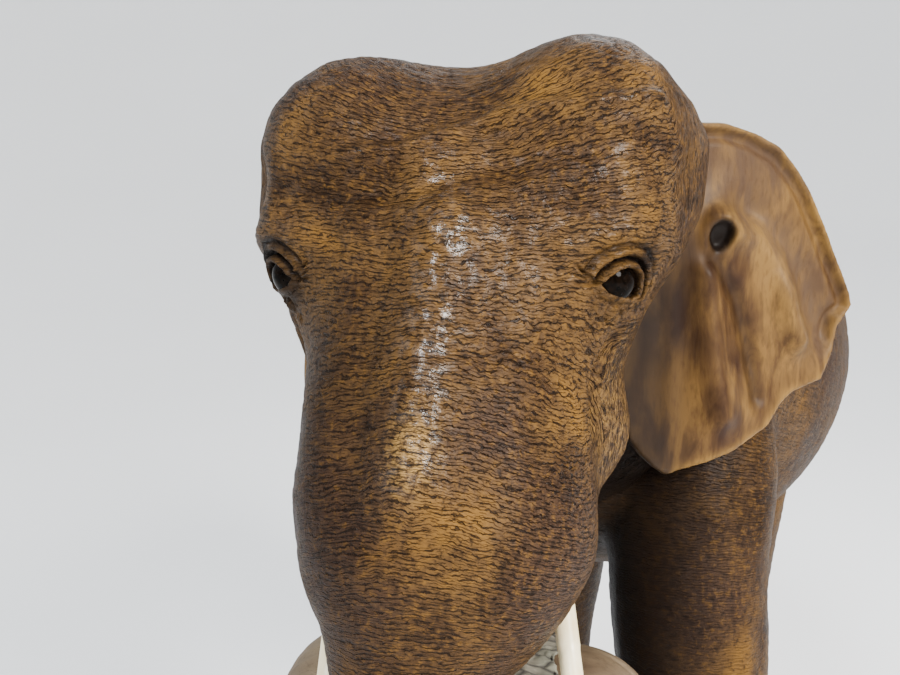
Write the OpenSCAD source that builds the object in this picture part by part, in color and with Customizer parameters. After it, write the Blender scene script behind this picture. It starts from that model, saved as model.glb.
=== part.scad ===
// Carved wooden elephant that holds a short log in the curl of its trunk.
// The elephant faces -Y, its own left side is +X, and it stands on Z = 0.
// Its wooden forms are blends of ellipsoids and tapered rods. Each blend is skinned with
// rings of points, found where rays from a spine inside it come out.

/* [Head] */
// Height of the eyes above the ground
eye_height = 295; // [288:1:300]
// Turn of the head toward the elephant's left, in degrees
head_turn = 8; // [4:1:10]
// Diameter of each glass eye
eye_dia = 9; // [8:0.5:10]
// Height of the dome on the front of each glass eye
eye_dome = 2; // [1:0.25:2.5]

/* [Ears] */
// Thickness of the ears
ear_thick = 4; // [4:0.25:5]
// Backward sweep of the left ear, in degrees
left_ear_sweep = 28; // [24:1:34]
// Backward sweep of the right ear, in degrees
right_ear_sweep = 66; // [62:1:70]

/* [Tusks] */
// Diameter of the tusks
tusk_dia = 5.4; // [5:0.1:5.6]
// Length of each tusk outside the cheek
tusk_length = 92; // [80:1:100]
// Length of the plain shank inside the socket
shank_length = 18; // [14:1:20]
// Radial clearance of the shank in its socket
tusk_fit = 0.05; // [0.03:0.01:0.1]

/* [Log] */
// Radius of the peeled log
log_radius = 24.5; // [23:0.5:25]
// Half the length of the log
log_half = 51; // [50:1:58]
// Thickness of the bark left around the middle of the log
bark_thick = 1.8; // [1.5:0.1:2]
// Half the width of the band of bark
bark_half = 27; // [24:1:30]

/* [Pegs] */
// Diameter of the neck peg
neck_peg_dia = 16; // [12:1:18]
// Diameter of the tail and log pegs
peg_dia = 5; // [4:0.5:5]
// Diameter of the ear pegs
ear_peg_dia = 2.4; // [2:0.2:2.6]

/* [Hidden] */
$fn = 64;
far = 400;
overlap = 0.5;

wood = "#6b4a30";
ear_wood = "#8a6233";
peg_wood = "#b08a5a";
ivory = "#e8dfc2";
dark_glass = "#1c120c";
bark_grey = "#6e6c5e";

// Places are measured from the point midway between the eyes. In the head's own axes x runs
// to the elephant's left, y backward and z up; the head is turned about that point.
eye_mid = [0, -131, eye_height];

// A blend is a list of forms, added one after another. An ellipsoid is [centre, radii, fillet]
// and a tapered rod is [start, radius, end, radius, fillet].
// Head forms that come in pairs, or lie on the middle, are given for the left side
PAIRED = [
  [[0, 28, 12], [50, 42, 39], 0],
  [[38, 32, 22], [16, 24, 20], 12],
  [[0, 14, -8], [42, 32, 32], 12],
  [[0, 4, 0], 26, [0, -6, -30], 29, 12],
  [[32, 12, 8], [16, 18, 14], 10],
  [[25, 20, -32], [14, 18, 22], 8],
  [[29, 18, -38], [12.5, 14, 14], 6],
  [[23, 12, -50], 8, [25, 5, -60], 5.5, 6],
  [[0, 66, -8], [36, 44, 40], 20],
];
// The two domes, the left temple and the root of the trunk, different on each side
SINGLE = [
  [[29, 22, 27], [28, 30, 31], 8],
  [[-26, 22, 25], [28.5, 30, 29], 8],
  [[45, 34, 28], [13, 16, 16], 8],
  [[1, -6, -36], 30.3, [1.8, -12, -56], 32.6, 14],
  [[1.8, -12, -56], 32.6, [-3, -20, -84], 20, 10],
];
JAW = [
  [[0, 30, -40], [24, 26, 18], 0],
  [[0, 14, -62], [11, 13, 9], 10],
];
TORSO = [
  [[0, 165, -38], [87, 98, 78], 0],
  [[0, 170, -10], [60, 80, 58], 20],
  [[0, 102, -30], [58, 54, 58], 22],
  [[0, 235, -42], [70, 66, 74], 25],
  [[0, 66, -8], [40, 46, 44], 22],
];
// Each leg is a run of [centre, radius] from the shoulder or hip down to below the sole
FRONT_LEFT = [[[36, 104, -15], 12], [[43, 92, -50], 25], [[45, 82, -95], 24], [[51, 76, -160], 20.5],
              [[52, 72, -215], 19], [[53, 68, -270], 22.5], [[53, 67, -300], 24.5]];
FRONT_RIGHT = [[[-36, 104, -15], 12], [[-43, 92, -50], 24], [[-44, 86, -95], 23], [[-46, 88, -160], 21],
               [[-47, 92, -215], 19], [[-47, 90, -270], 22.5], [[-47, 89, -300], 24.5]];
REAR_LEFT = [[[24, 244, -10], 14], [[34, 242, -70], 36], [[32, 222, -150], 26], [[32, 232, -200], 20],
             [[32, 236, -230], 18.5], [[32, 229, -275], 21], [[32, 228, -300], 22.5]];
REAR_RIGHT = [[[-26, 246, -10], 14], [[-37, 248, -70], 36], [[-43, 248, -150], 26], [[-46, 262, -200], 18.5],
              [[-45, 268, -230], 18], [[-42, 262, -275], 21], [[-42, 261, -300], 22.5]];
TAIL = [[[0, 268, 0], 8], [[0, 300, -6], 7], [[0, 312, -40], 5.5], [[0, 314, -80], 4.5],
        [[0, 314, -125], 4], [[0, 314, -140], 6.5], [[0, 314, -160], 6], [[0, 314, -172], 2]];

neck_y = 62;
neck_peg_height = -6;
neck_peg_half = 26;

// Edges of an ear: distance out from its root at each height
EAR_OUT = [[-56, 8], [-54, 15], [-50, 27], [-45, 37], [-36, 44], [-33, 56], [-24, 61],
           [-16, 62], [-13, 66], [-8, 65], [7, 56.5], [21, 48], [27, 43], [32, 37.5],
           [36, 29], [38, 20]];
EAR_IN = [[-56, 7], [-55, 5], [-51, 0], [-45, -5], [-35, -9], [-25, -18], [20, -18], [34, -4],
          [38, 8]];
ear_root = [44, 42];
ear_cup = 5;
ear_foot = -56;
ear_top = 38;
ear_rows = 32;
ear_columns = 12;
ear_peg_length = 16;
// Height of the upper and lower peg of an ear, and the distance out where each one starts
left_ear_pegs = [[20, -2], [-12, -16]];
right_ear_pegs = [[20, 3], [-12, -20]];

// Where each tusk leaves the cheek, and the way it points
left_tusk_at = [25.4, 4.5, -62];
left_tusk_way = [0.2, -0.53, -0.82];
right_tusk_at = [-27.8, 4.5, -62];
right_tusk_way = [0.06, -0.53, -0.82];
tusk_bend = 22;

// Middle of the rim of the left eye, its turn toward the front and its downward dip
eye_at = [40, -3, 0.5];
eye_turn = 47;
eye_dip = 6;
eye_body = 4;
backing_thick = 0.8;

log_at = [0, 20, -121];
curl_gap = 0.3;
bark_radius = log_radius + bark_thick;
// The trunk shrinks as it winds from the front of the log, beneath it and up behind
trunk_start = 17;
trunk_end = 9.5;
curl_sweep = 165;
log_peg_half = 12;
log_peg_in = 10;
log_round = 22;

// Signed distance to one form, negative inside it
function ellipsoid(p, c, r) =
  let (q = p - c)
  let (a = norm([q.x / r.x, q.y / r.y, q.z / r.z]))
  let (b = norm([q.x / r.x ^ 2, q.y / r.y ^ 2, q.z / r.z ^ 2]))
  b == 0 ? -min(r) : a * (a - 1) / b;
function rod(p, a, ra, b, rb) =
  let (way = b - a)
  let (t = max(0, min(1, (p - a) * way / (way * way))))
  norm(p - a - t * way) - ra - (rb - ra) * t;
function form(p, f) =
  len(f) == 3 ? ellipsoid(p, f[0], f[1]) : rod(p, f[0], f[1], f[2], f[3]);

// Two distances joined with a fillet, and a whole list of forms joined in turn
function join(a, b, fillet) =
  let (h = fillet == 0 ? 0 : max(fillet - abs(a - b), 0) / fillet)
  min(a, b) - h * h * fillet / 4;
function blend(p, forms, d = far, i = 0) =
  i == len(forms) ? d
  : blend(p, forms, join(d, form(p, forms[i]), forms[i][len(forms[i]) - 1]), i + 1);
function head_form(p) = blend(p, SINGLE, blend([sqrt(p.x ^ 2 + 9), p.y, p.z], PAIRED));

// Point where a ray from inside a shape comes out, by false position
function leave(shape, from, way, a, fa, b, fb, steps, side = 0) =
  let (c = (a * fb - b * fa) / (fb - fa))
  let (fc = shape(from + way * c))
  steps == 0 ? from + way * c
  : fc > 0 ? leave(shape, from, way, a, side > 0 ? fa / 2 : fa, c, fc, steps - 1, 1)
  : leave(shape, from, way, c, fc, b, side < 0 ? fb / 2 : fb, steps - 1, -1);
function skin_point(shape, from, way, reach) =
  leave(shape, from, way, 0, shape(from), reach, shape(from + way * reach), 7);

// Direction from a spine at one angle around it. The spine heads down at pitch 0 and
// backward at pitch 90, and lean tips the ray along or against the spine.
function ray(angle, pitch, lean) =
  let (side = [0, cos(pitch), sin(pitch)])
  let (ahead = [0, sin(pitch), -cos(pitch)])
  cos(lean) * (cos(angle) * [1, 0, 0] + sin(angle) * side) + sin(lean) * ahead;
function skin_ring(shape, from, pitch, lean, reach, count) =
  [for (i = [0:count - 1]) skin_point(shape, from, ray(360 * i / count, pitch, lean), reach)];
function round_ring(from, pitch, radius, count) =
  [for (i = [0:count - 1]) from + radius * ray(360 * i / count, pitch, 0)];

// Closed solid through rings of equal count, each capped by a fan to its middle
module loft(rings) {
  count = len(rings[0]);
  last = len(rings) - 1;
  points = [for (r = rings) for (p = r) p];
  walls = [for (j = [0:last - 1]) for (i = [0:count - 1]) let (k = (i + 1) % count)
           each [[j * count + i, j * count + k, (j + 1) * count + i],
                 [j * count + k, (j + 1) * count + k, (j + 1) * count + i]]];
  top = [for (i = [count - 1:-1:0]) i];
  bottom = [for (i = [0:count - 1]) last * count + i];
  polyhedron(points, concat(walls, [top, bottom]));
}

// Value between two values, and a position along a run of [centre, radius]
function mix(a, b, t) = a + (b - a) * t;
function along(run, t) =
  let (i = min(floor(t), len(run) - 2))
  mix(run[i], run[i + 1], t - i);
function smooth(run, t) =
  let (n = len(run) - 1)
  (along(run, max(t - 0.3, 0)) + 2 * along(run, t) + along(run, min(t + 0.3, n))) / 4;

module head_place() {
  translate(eye_mid) rotate(head_turn) children();
}

module body_axes() {
  rotate(-head_turn) children();
}

module behind_neck() {
  translate([-far, neck_y, -far]) cube(2 * far);
}

// Rings of the head, from the top of the crown down to the tip of the trunk
crown_mid = [0, 25, 20];
head_points = 44;
lean_steps = [82:-10:8];
trunk_top = [-2.5, -21.5, -90];
trunk_top_radius = 18.5;
head_levels = [16:-4:-88];
curl_steps = 20;
head_shape = function (p) head_form(p);
function head_spine(z) =
  [z < -30 ? 1 : 0, lookup(z, [[-90, -21], [-60, -10], [-30, 6], [16, 24]]), z];
function curl_radius(t) = mix(trunk_start, trunk_end, t);
function curl_point(t) =
  let (turn = 180 + curl_sweep * t)
  log_at + (bark_radius + curl_gap + curl_radius(t)) * [0, cos(turn), sin(turn)];
function crown_rings() =
  [for (lean = lean_steps) skin_ring(head_shape, crown_mid, 0, -lean, 100, head_points)];
function face_rings() =
  [for (z = head_levels) skin_ring(head_shape, head_spine(z), 0, 0, 110, head_points)];
function trunk_rings() =
  [for (t = [0.25, 0.6]) round_ring(mix(trunk_top, curl_point(0), t), -8 * (1 - t),
                                    mix(trunk_top_radius, trunk_start, t), head_points)];
function curl_rings() =
  [for (i = [0:curl_steps]) let (t = i / curl_steps)
   round_ring(curl_point(t), curl_sweep * t, curl_radius(t), head_points)];
function tip_rings() =
  [for (a = [25:20:85]) let (ahead = [0, sin(curl_sweep), -cos(curl_sweep)])
   round_ring(curl_point(1) + trunk_end * sin(a) * ahead, curl_sweep,
              trunk_end * cos(a), head_points)];

module head_skin() {
  loft(concat(crown_rings(), face_rings(), trunk_rings(), curl_rings(), tip_rings()));
}

jaw_shape = function (p) blend(p, JAW);
jaw_points = 24;
module jaw_skin() {
  loft(concat(
    [for (lean = lean_steps) skin_ring(jaw_shape, [0, 28, -42], 0, -lean, 60, jaw_points)],
    [for (t = [0:0.125:1]) skin_ring(jaw_shape, mix([0, 28, -42], [0, 15, -62], t), 0, 0, 60,
                                     jaw_points)],
    [for (lean = [10:15:85]) skin_ring(jaw_shape, [0, 15, -62], 0, lean, 60, jaw_points)]));
}

// The head takes the front of the neck and chest, which fits around the tops of the legs
module head_block() {
  difference() {
    union() {
      head_skin();
      jaw_skin();
      body_axes() torso_skin();
    }
    behind_neck();
    body_axes() legs_skin();
  }
}

module neck_peg_form() {
  translate([0, neck_y - neck_peg_half, neck_peg_height]) rotate([-90, 0, 0])
    cylinder(d = neck_peg_dia, h = 2 * neck_peg_half);
}

module log_peg_form() {
  translate(log_at - [0, 0, bark_radius + 2 * log_peg_half - log_peg_in])
    cylinder(d = peg_dia, h = 2 * log_peg_half);
}

// Moves things made along Z from the mouth of a tusk socket, onto the tusk's own line
module tusk_line(at, way) {
  translate(at) rotate([0, acos(way.z / norm(way)), atan2(way.y, way.x)]) children();
}

module tusk_socket(at, way) {
  tusk_line(at, way) translate([0, 0, -shank_length])
    cylinder(r = tusk_dia / 2 + tusk_fit, h = shank_length + 30);
}

// Moves things made along Z from the rim of an eye, outward from the cheek
module eye_line(side) {
  translate([side * eye_at.x, eye_at.y, eye_at.z])
    rotate([0, 90 + eye_dip, side > 0 ? -eye_turn : 180 + eye_turn]) children();
}

module eye_socket(side) {
  eye_line(side) translate([0, 0, -eye_body - backing_thick])
    cylinder(d = eye_dia, h = eye_body + backing_thick + 12);
}

// Places things made along x from the root of an ear; the right ear is the mirror image
module ear_line(side, sweep) {
  mirror([side > 0 ? 0 : 1, 0, 0])
    translate([ear_root.x, ear_root.y, 0]) rotate(sweep) children();
}

module ear_peg_form(side, sweep, peg) {
  ear_line(side, sweep) translate([peg[1], 0, peg[0]]) rotate([0, 90, 0])
    cylinder(d = ear_peg_dia, h = ear_peg_length);
}

module ear_plate() {
  step = (ear_top - ear_foot) / ear_rows;
  function skin(z, i, back) =
    let (s = mix(lookup(z, EAR_IN), lookup(z, EAR_OUT), i / ear_columns))
    [s, ear_cup * (s / 50) ^ 2 + (back ? 1 : -1) * ear_thick / 2, z];
  loft([for (j = [0:ear_rows]) let (z = ear_top - j * step)
        concat([for (i = [0:ear_columns]) skin(z, i, false)],
               [for (i = [ear_columns:-1:0]) skin(z, i, true)])]);
}

// Triangles of a union or a cut, taken as one closed skin
module one_skin() {
  resize([0, 0, 0]) union() children();
}

module head() {
  color(wood) head_place() difference() {
    one_skin() head_block();
    neck_peg_form();
    log_peg_form();
    tusk_socket(left_tusk_at, left_tusk_way);
    tusk_socket(right_tusk_at, right_tusk_way);
    eye_socket(1);
    eye_socket(-1);
    for (peg = left_ear_pegs) ear_peg_form(1, left_ear_sweep, peg);
    for (peg = right_ear_pegs) ear_peg_form(-1, right_ear_sweep, peg);
  }
}

module ear(side, sweep, pegs) {
  color(ear_wood) head_place() difference() {
    one_skin() difference() {
      ear_line(side, sweep) ear_plate();
      head_skin();
    }
    for (peg = pegs) ear_peg_form(side, sweep, peg);
  }
}

module left_ear() {
  ear(1, left_ear_sweep, left_ear_pegs);
}

module right_ear() {
  ear(-1, right_ear_sweep, right_ear_pegs);
}

module ear_peg(side, sweep, peg) {
  color(peg_wood) head_place() ear_peg_form(side, sweep, peg);
}

module left_ear_peg_upper() {
  ear_peg(1, left_ear_sweep, left_ear_pegs[0]);
}

module left_ear_peg_lower() {
  ear_peg(1, left_ear_sweep, left_ear_pegs[1]);
}

module right_ear_peg_upper() {
  ear_peg(-1, right_ear_sweep, right_ear_pegs[0]);
}

module right_ear_peg_lower() {
  ear_peg(-1, right_ear_sweep, right_ear_pegs[1]);
}

// A straight shank and root, then a slim point that curves up and forward
module tusk(at, way) {
  straight = 26;
  curved = tusk_length - straight;
  radius = tusk_dia / 2;
  steps = 16;
  function bend(t) = tusk_bend * t;
  function spine(t) =
    t == 0 ? [0, 0, straight - overlap]
    : let (before = spine(t - 1 / steps))
      before + curved / steps * [-sin(bend(t)), 0, cos(bend(t))];
  function taper(t) = (radius - 0.1) * sqrt(1 - t ^ 2 * 0.98);
  points = [for (i = [0:steps]) spine(i / steps)];
  color(ivory) head_place() tusk_line(at, way) {
    translate([0, 0, -shank_length]) cylinder(r = radius, h = shank_length + straight);
    loft([for (i = [0:steps]) let (t = i / steps)
          [for (k = [0:15]) let (a = -360 * k / 16)
           points[i] + taper(t) * [cos(a) * cos(bend(t)), sin(a), cos(a) * sin(bend(t))]]]);
  }
}

module left_tusk() {
  tusk(left_tusk_at, left_tusk_way);
}

module right_tusk() {
  tusk(right_tusk_at, right_tusk_way);
}

// Glass eye: a short plug with a low dome on its face, in front of a dark disc
module eye(side) {
  dome_radius = ((eye_dia / 2) ^ 2 + eye_dome ^ 2) / (2 * eye_dome);
  color(dark_glass) head_place() eye_line(side) {
    translate([0, 0, -eye_body]) cylinder(d = eye_dia, h = eye_body);
    intersection() {
      translate([0, 0, eye_dome - dome_radius]) sphere(r = dome_radius);
      cylinder(d = eye_dia, h = eye_dome);
    }
  }
}

module left_eye() {
  eye(1);
}

module right_eye() {
  eye(-1);
}

module eye_backing(side) {
  color("#2a2018") head_place() eye_line(side)
    translate([0, 0, -eye_body - backing_thick]) cylinder(d = eye_dia, h = backing_thick);
}

module left_eye_backing() {
  eye_backing(1);
}

module right_eye_backing() {
  eye_backing(-1);
}

// Barrel of the body, from the neck to the rump
torso_shape = function (p) blend(p, TORSO);
torso_points = 44;
torso_front = [0, 84, -30];
torso_back = [0, 244, -36];
torso_steps = 22;
module torso_skin() {
  loft(concat(
    [for (lean = lean_steps) skin_ring(torso_shape, torso_front, 90, -lean, 150, torso_points)],
    [for (i = [0:torso_steps])
     skin_ring(torso_shape, mix(torso_front, torso_back, i / torso_steps), 90, 0, 150,
               torso_points)],
    [for (lean = [8:10:88]) skin_ring(torso_shape, torso_back, 90, lean, 150, torso_points)]));
}

leg_points = 28;
module leg_skin(run) {
  loft([for (t = [0:0.25:len(run) - 1]) let (ring = smooth(run, t))
        round_ring(ring[0], 0, ring[1], leg_points)]);
}

module legs_skin() {
  for (run = [FRONT_LEFT, FRONT_RIGHT, REAR_LEFT, REAR_RIGHT]) leg_skin(run);
}

module tail_peg_form() {
  translate([0, 281, -12]) rotate([-90, 0, 0]) cylinder(d = peg_dia, h = 22);
}

module body() {
  color(wood) difference() {
    one_skin() difference() {
      union() {
        difference() {
          translate(eye_mid) torso_skin();
          head_place() translate([0, 2 * -far, 0]) behind_neck();
        }
        translate(eye_mid) legs_skin();
      }
      translate([-far, -far, -2 * far]) cube(2 * far);
    }
    head_place() neck_peg_form();
    translate(eye_mid) tail_peg_form();
  }
}

module neck_peg() {
  color(peg_wood) head_place() neck_peg_form();
}

module tail() {
  color(wood) translate(eye_mid) difference() {
    one_skin() difference() {
      loft([for (t = [0:0.25:len(TAIL) - 1]) let (ring = smooth(TAIL, t))
            round_ring(ring[0], 0, ring[1], 16)]);
      torso_skin();
    }
    tail_peg_form();
  }
}

module tail_peg() {
  color(peg_wood) translate(eye_mid) tail_peg_form();
}

module log_line() {
  translate(log_at) rotate([0, 90, 0]) children();
}

// Peeled log with well rounded ends, lying across the curl of the trunk
module log() {
  color("#7c6046") head_place() difference() {
    log_line() rotate_extrude() intersection() {
      translate([0, -log_half]) square([log_radius, 2 * log_half]);
      union() {
        translate([0, log_round - log_half])
          square([log_radius, 2 * (log_half - log_round)]);
        for (end = [-1, 1]) translate([log_radius - log_round, end * (log_half - log_round)])
          circle(r = log_round);
        translate([0, -log_half]) square([log_radius - log_round, 2 * log_half]);
      }
    }
    log_peg_form();
  }
}

module bark() {
  color(bark_grey) head_place() difference() {
    log_line() cylinder(r = bark_radius, h = 2 * bark_half, center = true);
    log_line() cylinder(r = log_radius, h = 2 * bark_half + 2, center = true);
    log_peg_form();
  }
}

module log_peg() {
  color(peg_wood) head_place() log_peg_form();
}

body();
head();
left_ear();
right_ear();
left_tusk();
right_tusk();
left_eye();
right_eye();
left_eye_backing();
right_eye_backing();
tail();
log();
bark();
neck_peg();
left_ear_peg_upper();
left_ear_peg_lower();
right_ear_peg_upper();
right_ear_peg_lower();
tail_peg();
log_peg();
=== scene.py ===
"""Looks of the carved wooden elephant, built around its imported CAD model."""
import math

import bmesh
import bpy
import numpy as np
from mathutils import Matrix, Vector, noise


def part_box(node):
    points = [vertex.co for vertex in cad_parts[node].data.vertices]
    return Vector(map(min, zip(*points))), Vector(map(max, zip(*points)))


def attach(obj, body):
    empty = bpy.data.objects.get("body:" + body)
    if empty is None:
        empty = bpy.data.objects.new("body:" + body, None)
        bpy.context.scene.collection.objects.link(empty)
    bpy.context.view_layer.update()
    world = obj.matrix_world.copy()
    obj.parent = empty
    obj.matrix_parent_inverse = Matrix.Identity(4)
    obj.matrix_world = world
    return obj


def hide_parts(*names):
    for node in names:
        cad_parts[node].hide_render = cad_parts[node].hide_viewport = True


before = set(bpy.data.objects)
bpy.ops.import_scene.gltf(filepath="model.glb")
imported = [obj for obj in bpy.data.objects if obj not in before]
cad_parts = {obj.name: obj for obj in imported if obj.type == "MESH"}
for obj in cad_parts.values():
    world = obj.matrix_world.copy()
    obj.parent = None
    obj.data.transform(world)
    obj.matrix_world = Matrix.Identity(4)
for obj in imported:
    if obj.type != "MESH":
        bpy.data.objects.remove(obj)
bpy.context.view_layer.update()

MM = 0.001

# The eyes' midpoint and the turn of the head, as the CAD places them. In the head's own axes
# x runs to the elephant's left, y backward and z up, in millimetres.
EYE_MID = np.array([0.0, -131.0, 295.0])
HEAD_TURN = math.radians(8)
NECK_Y = 62.0


# ---------------------------------------------------------------- sculpting tools
def head_axes(p):
    """Points of the row frame, in millimetres, seen in the head's own axes."""
    q = p - EYE_MID
    c, s = math.cos(HEAD_TURN), math.sin(HEAD_TURN)
    return np.stack([q[:, 0] * c + q[:, 1] * s, -q[:, 0] * s + q[:, 1] * c, q[:, 2]], 1)


def row_axes(way):
    """A direction given in the head's own axes, turned into the row frame."""
    c, s = math.cos(HEAD_TURN), math.sin(HEAD_TURN)
    return np.array([way[0] * c - way[1] * s, way[0] * s + way[1] * c, way[2]])


def from_head_axes(q):
    """Points of the head's own axes, put back in the row frame."""
    c, s = math.cos(HEAD_TURN), math.sin(HEAD_TURN)
    turned = np.stack([q[:, 0] * c - q[:, 1] * s, q[:, 0] * s + q[:, 1] * c, q[:, 2]], 1)
    return turned + EYE_MID


def bump(d, width):
    """1 at d = 0, falling smoothly to about 0 at twice the width."""
    return np.exp(-(d / width) ** 2)


def step(x, low, high):
    """0 below low and 1 above high, with a smooth rise between."""
    t = np.clip((x - low) / (high - low), 0, 1)
    return t * t * (3 - 2 * t)


def to_line(p, points):
    """Distance from each point to a polyline, and how far along it the nearest place is."""
    pts = np.array(points, float)
    best = np.full(len(p), 1e9)
    place = np.zeros(len(p))
    for i in range(len(pts) - 1):
        way = pts[i + 1] - pts[i]
        t = np.clip(((p - pts[i]) @ way) / (way @ way), 0, 1)
        d = np.linalg.norm(p - pts[i] - t[:, None] * way, axis=1)
        closer = d < best
        best[closer] = d[closer]
        place[closer] = (i + t[closer]) / (len(pts) - 1)
    return best, place


def near_line(p, points, width):
    """1 on a polyline, falling to about 0 at twice the width."""
    return bump(to_line(p, points)[0], width)


def near_place(p, middle, width, stretch=(1, 1, 1)):
    """1 at a place, falling to about 0 at twice the width, which stretch makes longer."""
    return bump(np.linalg.norm((p - middle) / stretch, axis=1), width)


def ripple(q, seed=0.0):
    """Smooth noise from -1 to 1 at each point of q."""
    shift = Vector((seed * 7.13, seed * 3.7, seed * 5.9))
    return np.array([noise.noise(Vector(v) + shift) for v in q])


def verts(mesh):
    co = np.empty(len(mesh.vertices) * 3, np.float32)
    mesh.vertices.foreach_get("co", co)
    return co.reshape(-1, 3).astype(float) / MM


def normals(mesh):
    n = np.empty(len(mesh.vertices) * 3, np.float32)
    mesh.vertex_normals.foreach_get("vector", n)
    return n.reshape(-1, 3).astype(float)


def put_verts(mesh, p):
    mesh.vertices.foreach_set("co", (p * MM).astype(np.float32).ravel())
    mesh.update()


def attribute(mesh, name, values):
    """Stores one number per vertex for the materials to read."""
    layer = mesh.attributes.new(name, "FLOAT", "POINT")
    layer.data.foreach_set("value", np.asarray(values, np.float32))


def wood_attributes(mesh, **values):
    """Stores what the carved wood reads, 0 where it isn't given."""
    for name in ("stroke", "chisel", "wear", "stain", "polish"):
        attribute(mesh, name, np.full(len(mesh.vertices), values.get(name, 0), np.float32))


def relax(mesh, times, hold=None):
    """Evens out facets: smooths the points, then gives back the broad part of what was lost."""
    edges = np.empty(len(mesh.edges) * 2, np.int32)
    mesh.edges.foreach_get("vertices", edges)
    a, b = edges.reshape(-1, 2).T
    p = verts(mesh)
    count = np.bincount(a, minlength=len(p)) + np.bincount(b, minlength=len(p))

    def averaged(x):
        for _ in range(times):
            mean = np.stack([np.bincount(a, x[b, k], len(x)) + np.bincount(b, x[a, k], len(x))
                             for k in range(3)], 1) / count[:, None]
            x = (x + mean) / 2
        return x

    even = averaged(p)
    even = even + averaged(p - even)
    held = np.zeros(len(p)) if hold is None else hold(p)
    put_verts(mesh, even + (p - even) * held[:, None])


def joined(nodes, name):
    """One new object from copies of CAD nodes."""
    build = bmesh.new()
    for node in nodes:
        build.from_mesh(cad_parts[node].data)
    mesh = bpy.data.meshes.new(name)
    build.to_mesh(mesh)
    build.free()
    obj = bpy.data.objects.new(name, mesh)
    bpy.context.scene.collection.objects.link(obj)
    return obj


def applied(obj):
    """Applies the object's modifiers."""
    graph = bpy.context.evaluated_depsgraph_get()
    mesh = bpy.data.meshes.new_from_object(obj.evaluated_get(graph))
    obj.modifiers.clear()
    obj.data = mesh
    return obj


def remeshed(nodes, name, voxel, smoothing, hold=None):
    """Fused and evenly meshed copy of CAD nodes."""
    obj = joined(nodes, name)
    mod = obj.modifiers.new("remesh", "REMESH")
    mod.mode = "VOXEL"
    mod.voxel_size = voxel * 1 * MM
    applied(obj)
    relax(obj.data, smoothing, hold)
    return obj


def finish_piece(obj, body, nodes, material):
    for poly in obj.data.polygons:
        poly.use_smooth = True
    obj.data.materials.clear()
    obj.data.materials.append(material)
    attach(obj, body)
    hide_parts(*nodes)
    return obj


# ---------------------------------------------------------------- carving the head and trunk
LEDGE = [(-44, 0, 23), (-25, -9, 28), (-9, -9, 30), (2, -7, 34), (13, -4, 37), (24, -5, 39),
         (35, -4, 40), (47, 4, 41)]
HOLLOW = [(-38, -6, 18), (-20, -11, 21), (-3, -15, 22), (10, -11, 26), (23, -8, 30),
          (35, -7, 31), (48, 0, 31)]
BRIDGE = [(2, -14, 24), (3, -20, 15), (3, -24, 2), (2, -31, -12), (2, -38, -25), (1, -40, -37)]
BROW = [(29, -12, 9), (36, -8, 11), (42, -4, 12), (49, 4, 10), (53, 14, 6)]
CHEEK_FOLD = [(45, 8, -5), (41, 3, -10), (37, 1, -17), (35, -2, -24), (34, -1, -32), (33, 3, -44)]
EYE_AT = np.array([40.4, -3.4, 0.6])
EYE_OUT = np.array([0.678, -0.727, -0.105])
EYE_BACK = np.array([0.731, 0.682, 0.0])
EYE_UP = np.cross(EYE_OUT, EYE_BACK)
# Round the eye's middle, places are (backward, up)
EYE_OPENING = [(-4.8, -0.4), (-3.6, 1.1), (-1.6, 2.5), (0.6, 3.1), (2.7, 2.7), (4.3, 1.2),
               (5.2, -1.0), (5.4, -3.4), (4.4, -3.9), (2.2, -3.1), (-0.8, -2.7), (-3.2, -1.9)]
EYE_REACH = 15
EYE_CORNER = (-5, -0.3)
LID_SLOPE = 0.39
# Lids and creases round the opening: (distance from it, width, height, more above the corners)
LIDS = [(1.0, 0.75, 0.4, 0.8), (2.4, 0.45, -0.3, -1.2), (3.8, 1.0, 0.1, 0.7), (5.5, 0.6, 0, -0.6)]
# Wrinkles in front of the eye's corner: (slope, bend)
CROW_FEET = [(-0.34, 0.05), (-0.10, 0.035), (0.14, 0.03)]
# Warts under the eye: (backward, up, radius, height)
WARTS = [(-0.4, -7.6, 1.9, 0.9), (-4.6, -10.8, 1.3, 0.6), (3.4, -7.0, 1.2, 0.4)]
TUSK_LINES = [(np.array([25.4, 4.5, -62.0]), np.array([0.2, -0.53, -0.82])),
              (np.array([-27.8, 4.5, -62.0]), np.array([0.06, -0.53, -0.82]))]
SOCKET_RADIUS = 3.0
LOG_AT = np.array([0.0, 20.0, -121.0])
# Radius from the log's middle to the middle of the trunk that winds round it
CURL_MID = 43.0
RING_PITCH = 5.5
NOSTRIL_SIDE = 3.4
TEMPLE = np.array([53.0, 10.0, 24.0])
JOWL = np.array([40.0, 8.0, -36.0])
TRUNK_TIP = np.array([0.0, 57.3, -121.2])
WORN_AT = np.array([2.0, -40.0, -32.0])
BESIDE_BRIDGE = [(-14, -24, 8), (-14, -32, -12), (-14, -37, -30), (-14, -40, -46)]
NOTCH = np.array([-48.0, 8.0, 22.0])
# The chisel strokes circle the crown on a ball round this place, then run round the trunk
CROWN_MID = np.array([0, 25, 10])
CROWN_RADIUS = 45
HEAD_VOXEL = 0.85
CARVED_SMOOTHING = 34


def mirrored(q, sign):
    return q * np.array([sign, 1, 1])


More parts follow.
